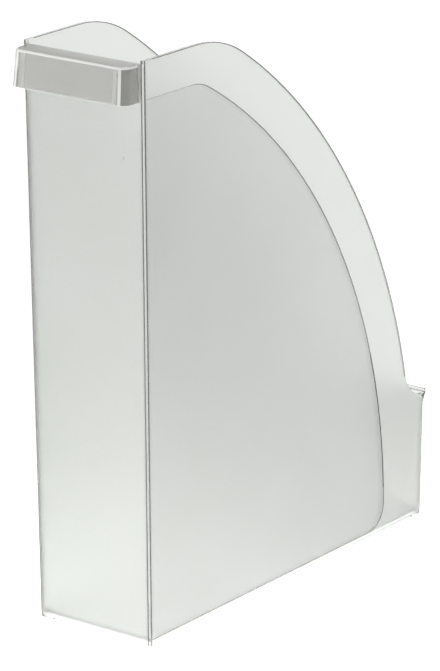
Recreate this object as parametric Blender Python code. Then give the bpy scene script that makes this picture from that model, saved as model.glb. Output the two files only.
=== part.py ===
"""Magazine file holder for A4 documents, in metres, with +Z up.

The narrow spine stands at -Y and the low front wall at +Y; X runs across the file. The body is one
moulding whose walls lean outwards for draft. A grip hood runs round the top of the spine, with a
finger pocket that is open below, and carries a clear label cover with a label card behind it.
"""

import math

import bmesh
import bpy
from mathutils import Vector

# Overall form of the body, measured on the outer faces
HEIGHT = 0.312
TOP_WIDTH = 0.0764
BODY_DEPTH = 0.2585
FRONT_HEIGHT = 0.071
SIDE_DRAFT = math.radians(0.32)
SPINE_DRAFT = math.radians(1.39)
FRONT_DRAFT = math.radians(0.34)

# Walls, floor and corners
WALL = 0.0018
FLOOR = 0.0020
FLOOR_RISE = 0.0026
CORNER_R = 0.0016
INNER_CORNER_R = 0.0008
BASE_EDGE = 0.0004

# Corner feet left by the relieved skirt
FOOT_LENGTH = 0.009
FOOT_RELIEF = 0.0010

# Side elevation: level rim, round crest, long sweep and scoop into the front wall
TOP_RUN = 0.0443
CREST_R = 0.075
SWEEP_LEVEL = 0.0045
SCOOP_R = 0.020
SCOOP_LEAD = 0.0004
SADDLE_DROP = 0.002

# Flared lip on the front wall
LIP_REACH = 0.0040
LIP_R = 0.0026
LIP_TURN = math.radians(75)
LIP_RISE = 0.0015
LIP_END_R = 0.0035
LIP_SEAT = 0.00005

# Recessed panels in the sides and the spine
PANEL_DEPTH = 0.00045
PANEL_EDGE = 0.0022
PANEL_BASE = 0.0034
PANEL_TOP = 0.292
PANEL_BORDER = 0.0284
PANEL_LIFT = 0.0035
PANEL_CREST_R = 0.030
PANEL_TOE_R = 0.014
SPINE_PANEL_DEPTH = 0.00025
SPINE_PANEL_TOP = 0.271
PAD_WIDTH = 0.050
PAD_HEIGHT = 0.0130
PAD_R = 0.003

# Grip hood at the top of the spine, measured on the cover's outer face
HOOD_HEIGHT = 0.0192
HOOD_REACH = 0.0132
HOOD_INSET = 0.0022
HOOD_R = 0.0055
HOOD_FLARE = 0.0018
HOOD_SIDE_FLARE = 0.0007
HOOD_WALL = 0.0018
HOOD_PLATE = 0.0018
HOOD_FLANGE = 0.0012

# Clear label cover, and the ribs that snap it on
COVER = 0.0014
COVER_TOP_R = 0.0011
COVER_BASE_R = 0.0004
RIB_LENGTH = 0.0012
RIB_HEIGHT = 0.0006
FIT = 0.0003

# Label card in its pocket
CARD_THICKNESS = 0.0004
CARD_MARGIN = 0.0030
CARD_LEDGE = 0.0008
CARD_SETBACK = 0.0016

# Fineness of the curves
CORNER_STEPS = 4
ARC_STEP = math.radians(3)
LIP_STEP = math.radians(15)
SWEEP_STEP = math.radians(1.5)
CUT_MARGIN = 0.004

# Places that follow from the sizes above
DEPTH = HOOD_REACH + BODY_DEPTH + LIP_REACH
SPINE_Y = HOOD_REACH - DEPTH / 2
FRONT_Y = SPINE_Y + BODY_DEPTH
FLOOR_TOP = FLOOR_RISE + FLOOR
LIP_THICKNESS = WALL - 2 * LIP_SEAT
HOOD_TOP = HEIGHT - SADDLE_DROP
HOOD_BASE = HOOD_TOP - HOOD_HEIGHT
LEAN = math.atan2(HOOD_FLARE, HOOD_HEIGHT)


def side_x(z):
    """Half-width across the side walls' outer faces at height z."""
    return TOP_WIDTH / 2 - (HEIGHT - z) * math.tan(SIDE_DRAFT)


def spine_y(z):
    """Outer face of the spine at height z."""
    return SPINE_Y + (HEIGHT - z) * math.tan(SPINE_DRAFT)


def front_y(z):
    """Outer face of the front wall at height z."""
    return FRONT_Y - (FRONT_HEIGHT - z) * math.tan(FRONT_DRAFT)


def hood_half(z):
    """Half-width of the hood over its cover at height z."""
    return TOP_WIDTH / 2 - HOOD_INSET + HOOD_SIDE_FLARE * (HOOD_TOP - z) / HOOD_HEIGHT


def hood_front(z):
    """Front face of the hood over its cover at height z."""
    return SPINE_Y - HOOD_REACH + HOOD_FLARE * (z - HOOD_BASE) / HOOD_HEIGHT


def arc(centre, radius, start, end, step=ARC_STEP):
    """Points of an arc from one angle to another, both ends included, as (u, v) pairs."""
    count = max(2, math.ceil(abs(end - start) / step))
    angles = [start + (end - start) * i / count for i in range(count + 1)]
    return [(centre[0] + radius * math.cos(a), centre[1] + radius * math.sin(a)) for a in angles]


def quarter(centre, radius, start):
    """Quarter turn about a corner's centre, anticlockwise from the start angle."""
    return arc(centre, radius, start, start + math.pi / 2, math.pi / 2 / CORNER_STEPS)


def clear_scene():
    for obj in list(bpy.data.objects):
        bpy.data.objects.remove(obj, do_unlink=True)


def plastic(name, colour, roughness, alpha=1.0, transmission=0.0):
    """Principled material of one plastic or card."""
    made = bpy.data.materials.new(name)
    made.use_nodes = True
    shader = made.node_tree.nodes["Principled BSDF"]
    shader.inputs["Base Color"].default_value = (*colour, 1.0)
    shader.inputs["Roughness"].default_value = roughness
    shader.inputs["Metallic"].default_value = 0.0
    shader.inputs["Alpha"].default_value = alpha
    shader.inputs["Transmission Weight"].default_value = transmission
    made.diffuse_color = (*colour, alpha)
    return made


def loft(name, sections):
    """Closed solid through a series of loops that all have the same number of points."""
    mesh = bpy.data.meshes.new(name)
    solid = bmesh.new()
    rings = [[solid.verts.new(point) for point in section] for section in sections]
    for low, high in zip(rings, rings[1:]):
        count = len(low)
        for i in range(count):
            j = (i + 1) % count
            solid.faces.new((low[i], low[j], high[j], high[i]))
    solid.faces.new(rings[0])
    solid.faces.new(rings[-1])
    bmesh.ops.recalc_face_normals(solid, faces=solid.faces)
    solid.to_mesh(mesh)
    solid.free()
    obj = bpy.data.objects.new(name, mesh)
    bpy.context.collection.objects.link(obj)
    return obj


def as_helper(obj):
    """Keeps a cutter or a joined piece out of the finished object."""
    obj.hide_render = True
    obj.display_type = "WIRE"
    return obj


def combine(target, operation, *tools):
    """Adds one exact Boolean to the target for each tool."""
    for tool in tools:
        step = target.modifiers.new(tool.name, "BOOLEAN")
        step.operation = operation
        step.object = as_helper(tool)
        step.solver = "EXACT"


def across(name, outline, half_width):
    """Prism across the file, from an outline of (y, z) points."""
    ends = (-half_width, half_width)
    return loft(name, [[Vector((x, y, z)) for y, z in outline] for x in ends])


def finish_surface(obj, material):
    """Gives the piece its material and shades its round faces smooth."""
    obj.data.materials.append(material)
    obj.data.shade_smooth()
    obj.data.set_sharp_from_angle(angle=math.radians(20))


# Body


def body_loop(z, inset, radius):
    """Rounded rectangle of the body at height z, moved in from the outer faces."""
    half = side_x(z) - inset
    low, high = spine_y(z) + inset, front_y(z) - inset
    across_x, near, far = half - radius, low + radius, high - radius
    corners = [(across_x, far), (-across_x, far), (-across_x, near), (across_x, near)]
    points = []
    for turn, corner in enumerate(corners):
        points += quarter(corner, radius, turn * math.pi / 2)
    return [Vector((x, y, z)) for x, y in points]


def tapered_block(name, low, high, inset, radius):
    return loft(name, [body_loop(z, inset, radius) for z in (low, high)])


def outer_block():
    """Drafted block that the walls are cut from, with a small edge round at its foot."""
    foot = body_loop(0.0, BASE_EDGE, CORNER_R - BASE_EDGE)
    above = [body_loop(z, 0.0, CORNER_R) for z in (BASE_EDGE, HEIGHT + CUT_MARGIN)]
    return loft("file_body", [foot, *above])


def sweep_circle(crest, scoop):
    """Centre and radius of the long arc on the level SWEEP_LEVEL.

    The arc runs on from the crest without a kink, so it is larger by CREST_R than the distance
    between their centres, and it meets the scoop, which curves the other way.
    """
    a, b = crest[0], crest[1] - SWEEP_LEVEL
    e, f = scoop[0], scoop[1] - SWEEP_LEVEL
    slope = (e - a) / (CREST_R + SCOOP_R)
    offset = (e * e - a * a + f * f - b * b + CREST_R**2 - SCOOP_R**2) / (2 * (CREST_R + SCOOP_R))
    # The radius is offset - slope * centre, which leaves a quadratic in the centre's place.
    reach = offset - CREST_R
    square = slope * slope - 1
    linear = a - slope * reach
    constant = reach * reach - a * a - b * b
    root = math.sqrt(linear * linear - square * constant)
    centre = (-linear - root) / square
    return (centre, SWEEP_LEVEL), offset - slope * centre


def rim_geometry():
    """Crest centre, scoop centre, and the sweep's centre and radius, as (y, z) places."""
    crest = (SPINE_Y + TOP_RUN, HEIGHT - CREST_R)
    scoop = (FRONT_Y + SCOOP_LEAD, FRONT_HEIGHT + SCOOP_R)
    centre, radius = sweep_circle(crest, scoop)
    return crest, scoop, centre, radius


def angle_to(start, end):
    return math.atan2(end[1] - start[1], end[0] - start[0])


def side_outline():
    """Side elevation: level top, crest, sweep, scoop, and level again to the front wall."""
    crest, scoop, centre, radius = rim_geometry()
    high = angle_to(centre, crest)
    low = angle_to(centre, scoop)
    back = SPINE_Y - HOOD_REACH - CUT_MARGIN
    front = FRONT_Y + CUT_MARGIN
    points = [(back, -CUT_MARGIN), (back, HEIGHT)]
    points += arc(crest, CREST_R, math.pi / 2, high)
    points += arc(centre, radius, high, low, SWEEP_STEP)[1:]
    points += arc(scoop, SCOOP_R, low + math.pi, 1.5 * math.pi, 3 * ARC_STEP)[1:]
    return points + [(front, FRONT_HEIGHT), (front, -CUT_MARGIN)]


def rectangle(half, near, far, z):
    """Four corners of a plan that reaches half to each side, from near to far along the file."""
    return [Vector((x, y, z)) for x, y in ((-half, near), (half, near), (half, far), (-half, far))]


def skirt_reliefs():
    """Two shallow channels that leave the skirt standing on its four corners."""
    half, low, high = side_x(0.0), spine_y(0.0), front_y(0.0)
    lengthways = (half - FOOT_LENGTH, low - CUT_MARGIN, high + CUT_MARGIN)
    crossways = (half + CUT_MARGIN, low + FOOT_LENGTH, high - FOOT_LENGTH)
    made = []
    for name, span in (("relief_lengthways", lengthways), ("relief_crossways", crossways)):
        made.append(loft(name, [rectangle(*span, z) for z in (-CUT_MARGIN, FOOT_RELIEF)]))
    return made


def corner_inside(centre, radius, level, corner_radius):
    """Centre, at the given level, of a corner arc that touches a large arc from inside."""
    rise = level - centre[1]
    return centre[0] + math.sqrt((radius - corner_radius) ** 2 - rise**2), level


def side_panel_outline():
    """Recess in a side: level along its top, then a curve that keeps a nearly even border."""
    _, _, centre, radius = rim_geometry()
    centre = (centre[0], centre[1] + PANEL_LIFT)
    inner = radius - PANEL_BORDER
    crest = corner_inside(centre, inner, PANEL_TOP - PANEL_CREST_R, PANEL_CREST_R)
    toe = corner_inside(centre, inner, PANEL_BASE + PANEL_TOE_R, PANEL_TOE_R)
    high, low = angle_to(centre, crest), angle_to(centre, toe)
    points = [(spine_y(z) + PANEL_EDGE, z) for z in (PANEL_BASE, PANEL_TOP)]
    points += arc(crest, PANEL_CREST_R, math.pi / 2, high)
    points += arc(centre, inner, high, low, SWEEP_STEP)[1:]
    return points + arc(toe, PANEL_TOE_R, low, -math.pi / 2, 3 * ARC_STEP)[1:]


def side_panel(side):
    """Cutter for the recess in one side; it leans with the wall, so the recess is even."""
    outline = side_panel_outline()
    loops = []
    for beyond in (-PANEL_DEPTH, CUT_MARGIN):
        loops.append([Vector((side * (side_x(z) + beyond), y, z)) for y, z in outline])
    return loft("panel_left" if side < 0 else "panel_right", loops)


def spine_panel():
    """Cutter for the spine's recess, which leaves a blank pad hanging from its upper edge."""
    pad_half = PAD_WIDTH / 2
    pad_base = SPINE_PANEL_TOP - PAD_HEIGHT
    inner = pad_half - PAD_R
    outline = [(side_x(PANEL_BASE) - PANEL_EDGE, PANEL_BASE)]
    outline.append((side_x(SPINE_PANEL_TOP) - PANEL_EDGE, SPINE_PANEL_TOP))
    outline.append((pad_half, SPINE_PANEL_TOP))
    outline += quarter((inner, pad_base + PAD_R), PAD_R, -math.pi / 2)[::-1]
    outline += [(-x, z) for x, z in reversed(outline)]
    loops = []
    for beyond in (SPINE_PANEL_DEPTH, -CUT_MARGIN):
        loops.append([Vector((x, spine_y(z) + beyond, z)) for x, z in outline])
    return loft("panel_spine", loops)


def lip_run():
    """Straight end of the lip, long enough for its round edge to reach LIP_REACH."""
    middle = LIP_R + LIP_THICKNESS / 2
    turned = LIP_R - middle * math.cos(LIP_TURN)
    return (LIP_REACH + LIP_SEAT - turned - LIP_THICKNESS / 2) / math.sin(LIP_TURN)


def lip_foot():
    """Height where the front wall starts to flare, so that its round edge ends LIP_RISE above the rim."""
    middle = LIP_R + LIP_THICKNESS / 2
    climb = middle * math.sin(LIP_TURN) + lip_run() * math.cos(LIP_TURN) + LIP_THICKNESS / 2
    return FRONT_HEIGHT + LIP_RISE - climb


def lip():
    """Flared lip: the wall turns outwards and ends in a full round."""
    foot, run = lip_foot(), lip_run()
    start = FRONT_Y - LIP_SEAT
    centre = (start + LIP_R, foot)
    turn = math.pi - LIP_TURN
    under = arc(centre, LIP_R, math.pi, turn, LIP_STEP)
    over = arc(centre, LIP_R + LIP_THICKNESS, turn, math.pi, LIP_STEP)
    middle = LIP_R + LIP_THICKNESS / 2
    nose_y = centre[0] + middle * math.cos(turn) + run * math.sin(turn)
    nose_z = centre[1] + middle * math.sin(turn) - run * math.cos(turn)
    edge = arc((nose_y, nose_z), LIP_THICKNESS / 2, turn - math.pi, turn, LIP_STEP)
    root = [(start - LIP_THICKNESS / 2, foot - LIP_THICKNESS)]
    return across("lip", under + edge + over + root, side_x(FRONT_HEIGHT) - LIP_SEAT)


def lip_plan():
    """Plan that rounds the lip's two ends."""
    half = side_x(FRONT_HEIGHT) - LIP_SEAT
    far = FRONT_Y + LIP_REACH + LIP_SEAT
    near = FRONT_Y - WALL - CUT_MARGIN
    right = quarter((half - LIP_END_R, far - LIP_END_R), LIP_END_R, 0.0)
    left = [(-x, y) for x, y in reversed(right)]
    outline = [(half, near), *right, *left, (-half, near)]
    span = (lip_foot() - CUT_MARGIN, FRONT_HEIGHT + LIP_RISE + CUT_MARGIN)
    return loft("lip_plan", [[Vector((x, y, z)) for x, y in outline] for z in span])


def lip_gap():
    """Clears the straight top of the front wall, between the sides, where the lip takes over."""
    loops = []
    for z in (lip_foot() + 4 * LIP_SEAT, FRONT_HEIGHT + CUT_MARGIN):
        half = side_x(z) - WALL + LIP_SEAT
        loops.append(rectangle(half, front_y(z) - WALL - 4 * LIP_SEAT, FRONT_Y + CUT_MARGIN, z))
    return loft("lip_gap", loops)


def saddle():
    """Lowers the top of the spine and hood between the two sides."""
    loops = []
    for z in (HOOD_TOP, HEIGHT + CUT_MARGIN):
        half = side_x(z) - WALL + LIP_SEAT
        near = SPINE_Y - HOOD_REACH - CUT_MARGIN
        loops.append(rectangle(half, near, spine_y(z) + WALL + 4 * LIP_SEAT, z))
    return loft("saddle", loops)


def make_body(material):
    """The one moulding: walls, floor, skirt, lip, recessed panels and grip hood."""
    body = outer_block()
    combine(body, "UNION", hood_core())
    cavity = tapered_block("cavity", FLOOR_TOP, HEIGHT + 2 * CUT_MARGIN, WALL, INNER_CORNER_R)
    under = tapered_block("underside", -CUT_MARGIN, FLOOR_RISE, WALL, INNER_CORNER_R)
    combine(body, "DIFFERENCE", cavity, under, *skirt_reliefs())
    combine(body, "INTERSECT", across("elevation", side_outline(), TOP_WIDTH))
    combine(body, "DIFFERENCE", saddle(), lip_gap())
    flare = lip()
    combine(flare, "INTERSECT", lip_plan())
    combine(body, "UNION", flare)
    combine(body, "DIFFERENCE", side_panel(-1), side_panel(1), spine_panel())
    finish_surface(body, material)
    return body


# Grip hood, label cover and label card


def mirrored(right):
    """Closes a plan that is given for +X only, from the back of one arm to the middle of the front."""
    return right + [(-x, y) for x, y in reversed(right)]


def hood_path(z, inset):
    """Front corner of the hood in plan at +X, moved in from the cover's outer face."""
    half, front = hood_half(z), hood_front(z)
    turn = quarter((half - HOOD_R, front + HOOD_R), HOOD_R - inset, -math.pi / 2)
    return turn[::-1]


def notch(half, back, length):
    """Rib or groove on an arm at +X: square at its back, where it holds, and sloped at its front."""
    front = back - length
    inner = half - RIB_HEIGHT
    return [(inner, back), (inner, front + RIB_HEIGHT / 2), (half, front)]


def core_loop(z):
    """Plan of the hood's solid form at height z: back flange, snap grooves and round corners."""
    inset = COVER + FIT
    half = hood_half(z)
    root = SPINE_Y + WALL * 2 / 3
    flange = SPINE_Y - HOOD_FLANGE
    right = [(half, root), (half, flange)]
    right += notch(half - inset, flange, RIB_LENGTH + 2 * FIT)
    return [Vector((x, y, z)) for x, y in mirrored(right + hood_path(z, inset))]


def pocket_loop(z):
    """Plan of the finger pocket at height z; its back is open to the spine."""
    inset = COVER + FIT + HOOD_WALL
    right = [(hood_half(z) - inset, SPINE_Y + CUT_MARGIN), *hood_path(z, inset)]
    return [Vector((x, y, z)) for x, y in mirrored(right)]


def card_half():
    """Half-width of the label card, which lies on the flat of the hood's front."""
    return hood_half(HOOD_TOP) - HOOD_R - CARD_MARGIN


def card_recess_loop(z):
    """Plan of the label recess at height z, open through the hood's front face."""
    face = hood_front(z) + COVER
    return rectangle(card_half() + FIT, face, face + FIT + CARD_THICKNESS + FIT, z)


def hood_core():
    """Moulded part of the hood: closed top, walls, pocket below, flange, grooves and label recess."""
    core = loft("hood_core", [core_loop(z) for z in (HOOD_BASE, HEIGHT)])
    pocket_span = (HOOD_BASE - CUT_MARGIN, HOOD_TOP - HOOD_PLATE)
    pocket = loft("finger_pocket", [pocket_loop(z) for z in pocket_span])
    recess_span = (HOOD_BASE + CARD_LEDGE, HEIGHT + CUT_MARGIN)
    recess = loft("label_recess", [card_recess_loop(z) for z in recess_span])
    combine(core, "DIFFERENCE", pocket, recess)
    return core


def cover_loop(z, edge):
    """Plan of the cover at height z; the edge value draws its outer face in."""
    half = hood_half(z)
    end = SPINE_Y - HOOD_FLANGE - FIT
    outer = [(half - edge, end), *hood_path(z, edge)]
    inner = [*notch(half - COVER, end, RIB_LENGTH), *hood_path(z, COVER)]
    left = [(-x, y) for x, y in reversed(outer)]
    inner_left = [(-x, y) for x, y in inner]
    return [Vector((x, y, z)) for x, y in outer + left + inner_left + inner[::-1]]


def rounded_edge(edge, radius, inwards):
    """Heights and draw-in values of a quarter round on the cover's outer face at one of its edges."""
    angles = [math.pi / 2 * i / CORNER_STEPS for i in range(CORNER_STEPS + 1)]
    return [(edge + inwards * radius * (1 - math.sin(a)), radius * (1 - math.cos(a))) for a in angles]


def make_cover(material):
    """Clear band round the hood, flush with its top and foot, with rounded outer edges."""
    base = rounded_edge(HOOD_BASE, COVER_BASE_R, 1)[::-1]
    top = rounded_edge(HOOD_TOP, COVER_TOP_R, -1)
    cover = loft("label_cover", [cover_loop(z, edge) for z, edge in base + top])
    finish_surface(cover, material)
    return cover


def make_card(material):
    """Plain card that stands on the ledge of its recess and leans with the hood's front."""
    foot = HOOD_BASE + CARD_LEDGE + FIT
    length = (HOOD_TOP - CARD_SETBACK - foot) / math.cos(LEAN)
    half = card_half()
    front, back = -CARD_THICKNESS / 2, CARD_THICKNESS / 2
    card = loft("label_card", [rectangle(half, front, back, z) for z in (0.0, length)])
    middle = COVER + FIT + CARD_THICKNESS / 2
    card.location = (0.0, hood_front(foot) + middle / math.cos(LEAN), foot)
    card.rotation_euler = (-LEAN, 0.0, 0.0)
    finish_surface(card, material)
    return card


def build():
    clear_scene()
    make_body(plastic("frosted_polystyrene", (0.76, 0.78, 0.75), 0.38, alpha=0.85, transmission=0.4))
    make_cover(plastic("clear_polystyrene", (0.88, 0.89, 0.87), 0.08, alpha=0.4, transmission=0.9))
    make_card(plastic("grey_card", (0.44, 0.44, 0.41), 0.7))


build()
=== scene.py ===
"""Looks of a magazine file holder: frosted body, clear label cover, plain label card, and a pale studio."""

import logging
import math
from dataclasses import dataclass, field
from enum import Enum

import bmesh
import bpy
from mathutils import Matrix, Vector


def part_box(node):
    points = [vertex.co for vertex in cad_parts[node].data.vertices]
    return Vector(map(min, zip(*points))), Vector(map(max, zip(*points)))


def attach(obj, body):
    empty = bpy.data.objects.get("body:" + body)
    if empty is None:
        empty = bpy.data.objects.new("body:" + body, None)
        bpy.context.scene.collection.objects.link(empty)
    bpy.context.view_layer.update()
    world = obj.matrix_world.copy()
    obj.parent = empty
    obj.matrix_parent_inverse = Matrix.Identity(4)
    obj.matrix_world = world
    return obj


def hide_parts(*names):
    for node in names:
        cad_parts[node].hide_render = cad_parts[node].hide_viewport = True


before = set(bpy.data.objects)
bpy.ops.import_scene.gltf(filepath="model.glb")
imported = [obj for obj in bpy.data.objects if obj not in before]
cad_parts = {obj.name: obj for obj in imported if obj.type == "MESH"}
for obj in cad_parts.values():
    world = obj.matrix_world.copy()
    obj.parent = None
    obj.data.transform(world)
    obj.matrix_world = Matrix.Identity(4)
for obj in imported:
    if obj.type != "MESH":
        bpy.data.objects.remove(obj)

SENSOR = 36.0
FLAT = math.cos(math.radians(6.0))
CREASE = math.radians(50.0)
SLIGHT = math.radians(2.0)
# Blender's noise stays mostly between these two values.
NOISE_LOW = 0.3
NOISE_HIGH = 0.7
# How much of a tint's change follows the grain; the rest follows the flow cloud.
GRAIN_SHARE = 0.6
BUMP_STRENGTH = 0.4

log = logging.getLogger("magazine_file")


def linear(hex_code: str) -> tuple[float, float, float, float]:
    """Turns an sRGB hex colour into linear light.

    Args:
        hex_code: Six hex digits, with or without a leading hash.

    Returns:
        Red, green, blue and an alpha of 1.
    """
    digits = hex_code.lstrip("#")
    parts = [int(digits[i:i + 2], 16) / 255 for i in (0, 2, 4)]
    red, green, blue = (p / 12.92 if p <= 0.04045 else ((p + 0.055) / 1.055) ** 2.4 for p in parts)
    return red, green, blue, 1.0


def add_node(
    tree: bpy.types.NodeTree,
    kind: str,
    settings: dict[str, object] | None = None,
    values: dict[str | int, object] | None = None,
    links: dict[str | int, bpy.types.NodeSocket] | None = None,
) -> bpy.types.Node:
    """Adds one node with its settings, socket values and incoming links.

    Args:
        tree: Node tree that takes the node.
        kind: Blender's name of the node type.
        settings: Properties of the node itself.
        values: Constants for its input sockets.
        links: Output sockets of other nodes, by the input that they feed.

    Returns:
        The new node.
    """
    node = tree.nodes.new(kind)
    for name, value in (settings or {}).items():
        setattr(node, name, value)
    for name, value in (values or {}).items():
        node.inputs[name].default_value = value
    for name, socket in (links or {}).items():
        tree.links.new(socket, node.inputs[name])
    return node


def new_material(
    name: str,
) -> tuple[bpy.types.Material, bpy.types.NodeTree, bpy.types.Node, bpy.types.Node]:
    """Makes an empty material with a Principled shader and object coordinates.

    Args:
        name: The real material and how its surface was made.

    Returns:
        The material, its tree, its shader and its coordinate node.
    """
    material = bpy.data.materials.new(name)
    material.use_nodes = True
    tree = material.node_tree
    tree.nodes.clear()
    output = tree.nodes.new("ShaderNodeOutputMaterial")
    shader = tree.nodes.new("ShaderNodeBsdfPrincipled")
    tree.links.new(shader.outputs["BSDF"], output.inputs["Surface"])
    place = tree.nodes.new("ShaderNodeTexCoord")
    return material, tree, shader, place


def is_flat(face: bmesh.types.BMFace) -> bool:
    """Tells whether a face is part of a flat wall, within the lean of a drafted one."""
    return max(abs(part) for part in face.normal) > FLAT


def shade(form: bmesh.types.BMesh) -> None:
    """Shades the round faces round and keeps each flat wall flat up to where a round begins.

    Args:
        form: The finished form, before it becomes a mesh.
    """
    for face in form.faces:
        face.smooth = True
    for edge in form.edges:
        turn = edge.calc_face_angle(0.0)
        borders_flat = is_flat(edge.link_faces[0]) != is_flat(edge.link_faces[1])
        edge.smooth = turn < CREASE and not (borders_flat and turn > SLIGHT)


class Polish(Enum):
    """How a face of the body was finished by its tool, or the painted shade that it takes; the value is its
    material slot.
    """

    GRAINED = 0
    SATIN = 1
    CLEAR = 2
    # The double-wall slot and the line slot are painted shade: dark tints, not finishes of the tool.
    DOUBLE_WALL_SHADE = 3
    SHADE_LINE = 4


@dataclass(frozen=True)
class MouldedPolystyrene:
    """General-purpose polystyrene, injection moulded: a clear, slightly grey resin.

    A spark-eroded tool leaves a fine grain that scatters light like ground glass. A lapped tool
    leaves a satin face, and a polished one leaves a clear face.
    """

    name: str
    tint: str
    shade: str
    roughness: float
    spread: float
    grain_mm: float
    bump_mm: float
    cloud_mm: float = 45.0
    ior: float = 1.59
    transmission: float = 1.0

    def material(self) -> bpy.types.Material:
        """Builds the plastic with its grain in roughness and bump, and a faint flow cloud in its tint."""
        made, tree, shader, place = new_material(self.name)
        where = {"Vector": place.outputs["Object"]}
        cloud, grain = (
            add_node(tree, "ShaderNodeTexNoise", None, {"Scale": 1000 / size, "Detail": 2.0}, where)
            for size in (self.cloud_mm, self.grain_mm)
        )
        speckle = add_node(
            tree, "ShaderNodeMix", {"data_type": "FLOAT"}, {0: GRAIN_SHARE},
            {2: cloud.outputs["Fac"], 3: grain.outputs["Fac"]},
        )
        colour = add_node(
            tree, "ShaderNodeMix", {"data_type": "RGBA"},
            {6: linear(self.shade), 7: linear(self.tint)}, {0: speckle.outputs[0]},
        )
        rough = add_node(
            tree, "ShaderNodeMapRange", None,
            {
                "From Min": NOISE_LOW, "From Max": NOISE_HIGH,
                "To Min": self.roughness - self.spread, "To Max": self.roughness + self.spread,
            },
            {"Value": grain.outputs["Fac"]},
        )
        bump = add_node(
            tree, "ShaderNodeBump", None, {"Strength": BUMP_STRENGTH, "Distance": self.bump_mm / 1000},
            {"Height": grain.outputs["Fac"]},
        )
        tree.links.new(colour.outputs[2], shader.inputs["Base Color"])
        tree.links.new(rough.outputs["Result"], shader.inputs["Roughness"])
        tree.links.new(bump.outputs["Normal"], shader.inputs["Normal"])
        shader.inputs["IOR"].default_value = self.ior
        shader.inputs["Transmission Weight"].default_value = self.transmission
        return made


# A ground-glass look: the far side shows only as light and shade. The real grain is about 0.1 mm
# and is drawn at 1.1 mm, because a finer one doesn't show.
GRAINED = MouldedPolystyrene("polystyrene_moulded_grained", "#FFFFFE", "#E4E8E3", 0.60, 0.08, 1.1, 0.030)
# A satin look: shapes behind it show, but soft.
SATIN = MouldedPolystyrene("polystyrene_moulded_satin", "#F7F9F6", "#F3F6F2", 0.34, 0.03, 0.8, 0.004)
# A clear look, with lines of light and dark where the edge bends what is behind it.
CLEAR = MouldedPolystyrene("polystyrene_moulded_polished", "#F8F9F7", "#F5F7F4", 0.04, 0.015, 6.0, 0.004)
# The hood's walls lie behind each other and look greyer and more closed than a single wall.
# The grey tint and the lower transmission are painted shade for that; the plastic is the same.
DOUBLE_WALL_SHADE = MouldedPolystyrene(
    "polystyrene_double_wall_painted_shade", "#DCDDD7", "#D4D5CF", 0.40, 0.05, 0.5, 0.010, transmission=0.45
)
# A round of some 0.4 mm shows as a thin dark line of bent light on the real moulding. It is too
# fine for the shader to bend light through, so a dark tint paints that line as painted shade.
SHADE_LINE = MouldedPolystyrene(
    "polystyrene_edge_painted_shade_line", "#6E6C69", "#676562", 0.25, 0.02, 6.0, 0.004, transmission=0.5
)
# The label cover is clear and glossy, with a faint waviness from its tool.
COVER_CLEAR = MouldedPolystyrene(
    "polystyrene_cover_polished", "#EDEEE9", "#E8E9E4", 0.10, 0.02, 8.0, 0.006, transmission=0.85
)


@dataclass(frozen=True)
class GreyCard:
    """Uncoated card, calendered and die cut: matt, with short fibres just to be seen."""

    light: str = "#999A94"
    dark: str = "#91928C"
    roughness: float = 0.82
    fibre_mm: float = 0.6
    fibre_strength: float = 0.2
    fibre_bump: float = 0.00005

    def material(self) -> bpy.types.Material:
        """Builds the card."""
        made, tree, shader, place = new_material("card_calendered")
        fibre = add_node(
            tree, "ShaderNodeTexNoise", None, {"Scale": 1000 / self.fibre_mm, "Detail": 4.0},
            {"Vector": place.outputs["Object"]},
        )
        colour = add_node(
            tree, "ShaderNodeMix", {"data_type": "RGBA"},
            {6: linear(self.dark), 7: linear(self.light)}, {0: fibre.outputs["Fac"]},
        )
        bump = add_node(
            tree, "ShaderNodeBump", None, {"Strength": self.fibre_strength, "Distance": self.fibre_bump},
            {"Height": fibre.outputs["Fac"]},
        )
        tree.links.new(colour.outputs[2], shader.inputs["Base Color"])
        tree.links.new(bump.outputs["Normal"], shader.inputs["Normal"])
        shader.inputs["Roughness"].default_value = self.roughness
        return made


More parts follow.
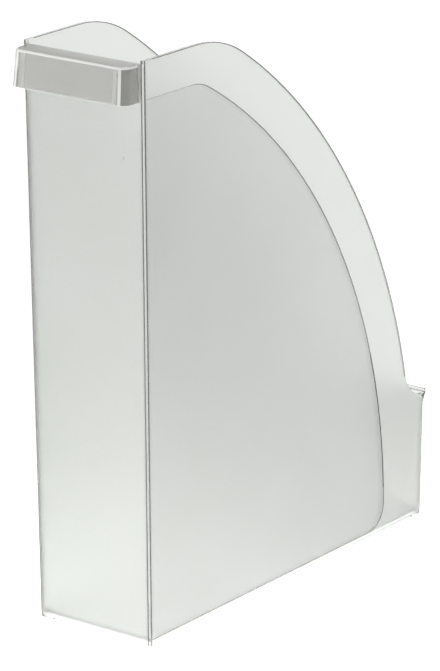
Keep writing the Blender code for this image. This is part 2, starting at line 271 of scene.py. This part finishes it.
@dataclass
class FileBody:
    """The one moulding: its CAD form with rounded rims, the finish of each of its faces, and painted shade
    on its hood and in its fine lines.
    """

    node: str = "file_body"
    body: str = "holder"
    slot: str = "frosted_polystyrene"
    merge: float = 1e-6
    coplanar: float = math.radians(0.3)
    edge_round: float = 0.00075
    edge_segments: int = 4
    shortest: float = 0.0005
    rim_band: float = 0.0030
    rim_base: float = 0.0660
    lip_y: float = 0.1314
    spine_y: float = -0.1248
    hood_base: float = 0.2900
    border_drop: float = 0.0002
    corner_end: float = 0.93
    step_area: float = 2e-5
    step_reach: float = 0.004
    foot_height: float = 0.0006
    wall_area: float = 0.0003
    band_start: float = -0.1180
    band_foot: float = 0.0850
    panel_area: float = 0.02
    line_width: float = 0.0004
    panel_foot: float = 0.025
    side_draft: float = math.radians(0.32)
    top: Vector = field(default_factory=lambda: Vector(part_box("file_body")[1]))
    piece: bpy.types.Object | None = None

    def build(self) -> bpy.types.Object:
        """Copies the CAD form, merges it, draws its lines, rounds its rims and dresses it.

        Returns:
            The finished piece.
        """
        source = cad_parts[self.node]
        mesh = bpy.data.meshes.new("moulded_body")
        form = bmesh.new()
        form.from_mesh(source.data)
        bmesh.ops.remove_doubles(form, verts=form.verts, dist=self.merge)
        bmesh.ops.dissolve_limit(form, angle_limit=self.coplanar, verts=form.verts, edges=form.edges)
        for face in form.faces:
            face.material_index = self.polish_of(face).value
        self.draw_lines(form)
        self.round_edges(form)
        shade(form)
        form.to_mesh(mesh)
        form.free()
        for finish in (GRAINED, SATIN, CLEAR, DOUBLE_WALL_SHADE, SHADE_LINE):
            mesh.materials.append(finish.material())
        self.piece = bpy.data.objects.new("moulded_body", mesh)
        bpy.context.scene.collection.objects.link(self.piece)
        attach(self.piece, self.body)
        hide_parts(self.node)
        log.info("%s: %d faces", self.piece.name, len(mesh.polygons))
        return self.piece

    def skin(self, z: float) -> float:
        """Returns half the width over the side walls at one height.

        Args:
            z: The height.
        """
        return self.top.x - (self.top.z - z) * math.tan(self.side_draft)

    def is_rim(self, face: bmesh.types.BMFace) -> bool:
        """Tells whether a face is the narrow top of a side wall.

        Args:
            face: One face of the merged body.
        """
        normal, centre = face.normal, face.calc_center_median()
        narrow = abs(normal.x) < 0.2 and abs(centre.x) > self.skin(centre.z) - self.rim_band
        return narrow and normal.z > 0.03 and centre.z > self.rim_base

    def polish_of(self, face: bmesh.types.BMFace) -> Polish:
        """Gives a face its degree of polish, or a painted shade, from where it is and how it faces.

        Args:
            face: One face of the merged body.

        Returns:
            Its degree of polish, or its painted shade.
        """
        normal, centre = face.normal, face.calc_center_median()
        depth = self.skin(centre.z) - abs(centre.x)
        in_hood = centre.y < self.spine_y and centre.z > self.hood_base and depth > 0.0001
        on_corner = abs(normal.x) > 0.15 and abs(normal.y) > 0.15 and abs(normal.z) < 0.3
        on_lip = centre.y > self.lip_y and centre.z > self.rim_base
        on_step = 0.0001 < depth < 0.0004 and abs(normal.x) < 0.5
        turned = abs(normal.y) < 0.5 and abs(normal.x) < 0.99
        at_spine = centre.y < self.spine_y + self.step_reach
        on_spine_step = turned and at_spine and face.calc_area() < self.step_area
        # Painted shade: the hood's walls take the grey double-wall tint.
        if in_hood:
            return Polish.DOUBLE_WALL_SHADE
        # Painted shade: the dark line tint goes on the ends of the corners, on steps that face up or
        # sideways and on the spine's small steps.
        if on_corner and max(abs(normal.x), abs(normal.y)) > self.corner_end:
            return Polish.SHADE_LINE
        if on_step and normal.z > -0.3 or on_spine_step:
            return Polish.SHADE_LINE
        on_foot = centre.z < self.foot_height
        if on_corner or on_lip or on_step or on_foot or self.is_rim(face):
            return Polish.CLEAR
        if normal.x * centre.x < -0.01 or normal.y * centre.y < -0.08:
            return Polish.SATIN
        if abs(normal.x) > 0.9 and depth < self.border_drop:
            return Polish.SATIN
        return Polish.GRAINED

    def draw_lines(self, form: bmesh.types.BMesh) -> None:
        """Parts a fine line below each rim and along each side panel from their faces, and paints it as a
        dark shade line, clear along the panel's foot.

        Args:
            form: The merged body.
        """
        cuts = (
            (Vector((0.0, self.band_start, 0.0)), Vector((0.0, 1.0, 0.0))),
            (Vector((0.0, 0.0, self.band_foot)), Vector((0.0, 0.0, 1.0))),
        )
        for place, direction in cuts:
            sides = self.beside_rim(form)
            parts = [*sides, *(e for f in sides for e in f.edges), *(v for f in sides for v in f.verts)]
            bmesh.ops.bisect_plane(
                form, geom=list(dict.fromkeys(parts)), dist=self.merge, plane_co=place, plane_no=direction
            )
        rims = {f for f in form.faces if self.is_rim(f)}
        for wall in self.beside_rim(form):
            centre = wall.calc_center_median()
            if centre.y < self.band_start or centre.z < self.band_foot:
                continue
            for face in self.ring(form, wall, self.line_width):
                if any(other in rims for e in face.edges for other in e.link_faces):
                    face.material_index = Polish.SHADE_LINE.value
        panels = [
            f for f in form.faces
            if abs(f.normal.x) > 0.9 and f.calc_area() > self.panel_area
            and f.normal.x * f.calc_center_median().x > 0
        ]
        for panel in panels:
            for face in self.ring(form, panel, self.line_width):
                centre = face.calc_center_median()
                if centre.y > self.spine_y + self.rim_band:
                    # Painted shade: the line is dark round the panel and clear only along its foot, where
                    # the light from above reaches the step.
                    low = centre.z < self.panel_foot
                    face.material_index = (Polish.CLEAR if low else Polish.SHADE_LINE).value

    def beside_rim(self, form: bmesh.types.BMesh) -> list[bmesh.types.BMFace]:
        """Returns the large faces of the side walls that end at a rim.

        Args:
            form: The merged body.
        """
        rims = {f for f in form.faces if self.is_rim(f)}
        return [
            f for f in form.faces
            if abs(f.normal.x) > 0.9 and f.calc_area() > self.wall_area
            and any(other in rims for e in f.edges for other in e.link_faces)
        ]

    @staticmethod
    def ring(form: bmesh.types.BMesh, face: bmesh.types.BMFace, width: float) -> list[bmesh.types.BMFace]:
        """Insets one flat face and returns the strip of faces round it.

        Args:
            form: The merged body.
            face: The face.
            width: Width of the strip.
        """
        return bmesh.ops.inset_region(
            form, faces=[face], thickness=width, use_even_offset=True, use_boundary=True
        )["faces"]

    def round_edges(self, form: bmesh.types.BMesh) -> None:
        """Rounds both edges of the side walls' rims and makes the new faces clear.

        Args:
            form: The merged body.
        """
        crowded = {v for e in form.edges if e.calc_length() < self.shortest for v in e.verts}
        rims = {f for f in form.faces if self.is_rim(f)}
        chosen = [
            e for e in form.edges
            if sum(f in rims for f in e.link_faces) == 1
            and e.calc_face_angle(0.0) > math.radians(60)
            and not crowded & set(e.verts)
        ]
        rounded = bmesh.ops.bevel(
            form, geom=chosen, offset=self.edge_round, offset_type="OFFSET", affect="EDGES",
            segments=self.edge_segments, profile=0.5, material=-1, clamp_overlap=True,
        )
        for face in rounded["faces"]:
            face.material_index = Polish.CLEAR.value


# The cover's rounded rims show as pale highlight lines; a pale, hardly transparent tint paints them.
COVER_PAINTED_HIGHLIGHT = MouldedPolystyrene(
    "polystyrene_cover_rim_painted_highlight", "#F8F8F5", "#F4F5F1", 0.18, 0.02, 8.0, 0.006, transmission=0.15
)


@dataclass
class LabelCover:
    """Clear band that clips round the hood: its corners and its outer edges are round."""

    node: str = "label_cover"
    body: str = "holder"
    slot: str = "clear_polystyrene"
    wall: float = 0.0014
    lean: float = 0.0018
    side_lean: float = 0.0007
    corner_round: float = 0.0055
    top_round: float = 0.0011
    foot_round: float = 0.0004
    rib_length: float = 0.0012
    rib_height: float = 0.0006
    highlight_strip_end: float = 30.0
    piece: bpy.types.Object | None = None

    def plan(self, half: float, front: float, end: float) -> list[tuple[float, float]]:
        """Returns the corners of the band's plan with a snap rib at each end, for sharp corners.

        Args:
            half: Half the width over its foot.
            front: Y of its front face at the foot.
            end: Y of the ends of its two arms.
        """
        inner = half - self.wall
        rib = inner - self.rib_height
        right = [
            (half, front), (half, end), (rib, end), (rib, end - self.rib_length + self.rib_height / 2),
            (inner, end - self.rib_length), (inner, front + self.wall),
        ]
        return right + [(-x, y) for x, y in reversed(right)]

    def build(self) -> bpy.types.Object:
        """Extrudes the plan, leans it with the hood and rounds its corners and edges.

        Returns:
            The finished piece.
        """
        low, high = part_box(self.node)
        form = bmesh.new()
        corners = [form.verts.new((x, y, low.z)) for x, y in self.plan(high.x, low.y, high.y)]
        foot = form.faces.new(corners)
        raised = bmesh.ops.extrude_face_region(form, geom=[foot])["geom"]
        top = [v for v in raised if isinstance(v, bmesh.types.BMVert)]
        bmesh.ops.translate(form, verts=top, vec=(0.0, 0.0, high.z - low.z))
        for vert in top:
            vert.co.x -= math.copysign(self.side_lean, vert.co.x)
        forward = [v for v in top if v.co.y < low.y + 2 * self.wall]
        bmesh.ops.translate(form, verts=forward, vec=(0.0, self.lean, 0.0))
        bmesh.ops.recalc_face_normals(form, faces=form.faces)
        upright = [e for e in form.edges if abs(e.verts[0].co.z - e.verts[1].co.z) > self.wall]
        at_front = [e for e in upright if max(v.co.y for v in e.verts) < low.y + 4 * self.wall]
        outer = [e for e in at_front if min(v.co.y for v in e.verts) < low.y + self.wall / 2]
        inner = [e for e in at_front if e not in outer]
        self.bevel(form, outer, self.corner_round, 10)
        self.bevel(form, inner, self.corner_round - self.wall, 8)
        # The rounds of the top and the foot take the painted highlight tint.
        for level, radius, segments in ((high.z, self.top_round, 5), (low.z, self.foot_round, 2)):
            for face in self.bevel(form, self.rim(form, level), radius, segments):
                face.material_index = 1
        # The strips where the front corners begin to turn take the painted highlight tint too.
        for face in form.faces:
            if self.is_highlight_strip(face):
                face.material_index = 1
        shade(form)
        mesh = bpy.data.meshes.new("label_window")
        form.to_mesh(mesh)
        form.free()
        for finish in (COVER_CLEAR, COVER_PAINTED_HIGHLIGHT):
            mesh.materials.append(finish.material())
        self.piece = bpy.data.objects.new("label_window", mesh)
        bpy.context.scene.collection.objects.link(self.piece)
        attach(self.piece, self.body)
        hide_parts(self.node)
        log.info("%s: %d faces", self.piece.name, len(mesh.polygons))
        return self.piece

    def is_highlight_strip(self, face: bmesh.types.BMFace) -> bool:
        """Tells whether a face is on the pale strip of painted highlight where a front corner begins to
        turn.

        Args:
            face: One face of the band.
        """
        normal = face.normal
        upright = normal.y < -0.5 and abs(normal.z) < 0.3
        return upright and 0.1 < abs(normal.x) < math.sin(math.radians(self.highlight_strip_end))

    def rim(self, form: bmesh.types.BMesh, level: float) -> list[bmesh.types.BMEdge]:
        """Returns the level edges at one height where the band's outer faces end.

        Args:
            form: The band with its round corners.
            level: Height of the edges.
        """
        found = []
        for edge in form.edges:
            if any(abs(v.co.z - level) > 1e-6 for v in edge.verts):
                continue
            walls = [f for f in edge.link_faces if abs(f.normal.z) < 0.5]
            middle = (edge.verts[0].co + edge.verts[1].co) / 2
            outward = Vector((middle.x, middle.y - self.hood_middle, 0.0))
            # An outer face looks away from the middle of the hood.
            if walls and walls[0].normal.dot(outward) > 0 and walls[0].normal.y < 0.5:
                found.append(edge)
        return found

    @property
    def hood_middle(self) -> float:
        """Y of a point inside the band, between its two arms."""
        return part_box(self.node)[1].y - 0.001

    def bevel(
        self, form: bmesh.types.BMesh, edges: list[bmesh.types.BMEdge], radius: float, segments: int
    ) -> list[bmesh.types.BMFace]:
        """Rounds a set of edges and returns the new faces.

        Args:
            form: The band.
            edges: The edges.
            radius: Radius of the round.
            segments: How many faces make it.
        """
        return bmesh.ops.bevel(
            form, geom=edges, offset=radius, offset_type="OFFSET", affect="EDGES",
            segments=segments, profile=0.5, material=-1, clamp_overlap=True,
        )["faces"]


@dataclass
class Studio:
    """Pale floor, soft light and the camera."""

    camera_place: tuple[float, float, float] = (1.197562, -1.635328, 0.779311)
    azimuth: float = 36.36
    pitch: float = 16.084
    roll: float = 0.215
    lens: float = 213.98668
    shift_y: float = -0.17
    floor_colour: str = "#808080"
    glow_centre: tuple[float, float, float] = (0.0, -0.10, 0.0)
    glow_near: float = 0.05
    glow_far: float = 0.40
    glow_peak: float = 1.6
    floor_gap: float = 0.0002
    floor_half: float = 6.0
    floor_glow: float = 0.91
    room_light: float = 0.17
    backdrop_light: float = 1.0

    def build(self) -> None:
        """Makes the floor, the lights and the camera."""
        self.make_floor()
        self.make_world()
        self.make_lights()
        self.make_camera()

    def make_floor(self) -> None:
        """Makes a wide floor just under the object's base."""
        mesh = bpy.data.meshes.new("studio_floor")
        plane = bmesh.new()
        bmesh.ops.create_grid(plane, x_segments=1, y_segments=1, size=self.floor_half)
        bmesh.ops.translate(plane, verts=plane.verts, vec=(0.0, 0.0, -self.floor_gap))
        plane.to_mesh(mesh)
        plane.free()
        floor = bpy.data.objects.new("studio_floor", mesh)
        bpy.context.scene.collection.objects.link(floor)
        made, tree, shader, place = new_material("light_table_matt")
        shader.inputs["Base Color"].default_value = linear(self.floor_colour)
        shader.inputs["Roughness"].default_value = 0.9
        shader.inputs["Specular IOR Level"].default_value = 0.2
        shader.inputs["Emission Color"].default_value = linear("#FFFFFF")
        reach = add_node(
            tree, "ShaderNodeVectorMath", {"operation": "DISTANCE"},
            {1: self.glow_centre}, {0: place.outputs["Object"]},
        )
        glow = add_node(
            tree, "ShaderNodeMapRange", {"interpolation_type": "SMOOTHSTEP"},
            {
                "From Min": self.glow_near, "From Max": self.glow_far,
                "To Min": self.glow_peak, "To Max": self.floor_glow,
            },
            {"Value": reach.outputs["Value"]},
        )
        tree.links.new(glow.outputs["Result"], shader.inputs["Emission Strength"])
        mesh.materials.append(made)

    def make_world(self) -> None:
        """Puts a white backdrop behind a dimmer room, which lights the object softly."""
        world = bpy.data.worlds.new("studio")
        bpy.context.scene.world = world
        world.use_nodes = True
        tree = world.node_tree
        back = tree.nodes["Background"]
        back.inputs["Color"].default_value = linear("#FFFFFF")
        seen = add_node(tree, "ShaderNodeLightPath")
        strength = add_node(
            tree, "ShaderNodeMapRange", None,
            {"To Min": self.room_light, "To Max": self.backdrop_light},
            {"Value": seen.outputs["Is Camera Ray"]},
        )
        tree.links.new(strength.outputs["Result"], back.inputs["Strength"])

    def make_lights(self) -> None:
        """Adds soft boxes on the left, above and behind."""
        self.soft_box("left_box", (-0.9, -1.1, 0.5), (0.0, 0.0, 0.08), 1.0, 8.0)
        self.soft_box("top_box", (0.4, -0.2, 1.8), (0.0, 0.0, 0.1), 1.2, 16.0)
        self.soft_box("back_box", (-1.2, 1.5, 0.65), (0.0, 0.0, 0.2), 0.9, 3.0)

    def soft_box(
        self, name: str, place: tuple[float, float, float], aim: tuple[float, float, float],
        size: float, power: float,
    ) -> None:
        """Adds a square area light that points at a place.

        Args:
            name: Name of the light.
            place: Where it stands.
            aim: The point that it faces.
            size: Side of the square, in metres.
            power: Its power in watts.
        """
        lamp = bpy.data.lights.new(name, "AREA")
        lamp.size = size
        lamp.energy = power
        obj = bpy.data.objects.new(name, lamp)
        obj.location = place
        obj.rotation_euler = (Vector(aim) - Vector(place)).to_track_quat("-Z", "Y").to_euler()
        bpy.context.scene.collection.objects.link(obj)

    def make_camera(self) -> None:
        """Makes the camera at the picture's viewing angle."""
        data = bpy.data.cameras.new("studio_camera")
        camera = bpy.data.objects.new("studio_camera", data)
        bpy.context.scene.collection.objects.link(camera)
        data.lens = self.lens
        data.sensor_width = SENSOR
        data.sensor_fit = "AUTO"
        data.shift_y = self.shift_y
        camera.location = self.camera_place
        turn = Matrix.Rotation(math.radians(self.azimuth), 3, "Z")
        tip = Matrix.Rotation(math.radians(90 - self.pitch), 3, "X")
        lean = Matrix.Rotation(math.radians(self.roll), 3, "Z")
        camera.rotation_euler = (turn @ tip @ lean).to_euler()
        bpy.context.scene.camera = camera


def main() -> None:
    """Builds the sub-assemblies in order."""
    logging.basicConfig(level=logging.INFO, format="%(name)s: %(message)s")
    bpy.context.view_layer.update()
    scene = bpy.context.scene
    scene.view_settings.view_transform = "Standard"
    FileBody().build()
    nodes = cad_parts
    LabelCover().build()
    nodes["label_card"].data.materials.clear()
    nodes["label_card"].data.materials.append(GreyCard().material())
    Studio().build()


if __name__ == "__main__":
    main()
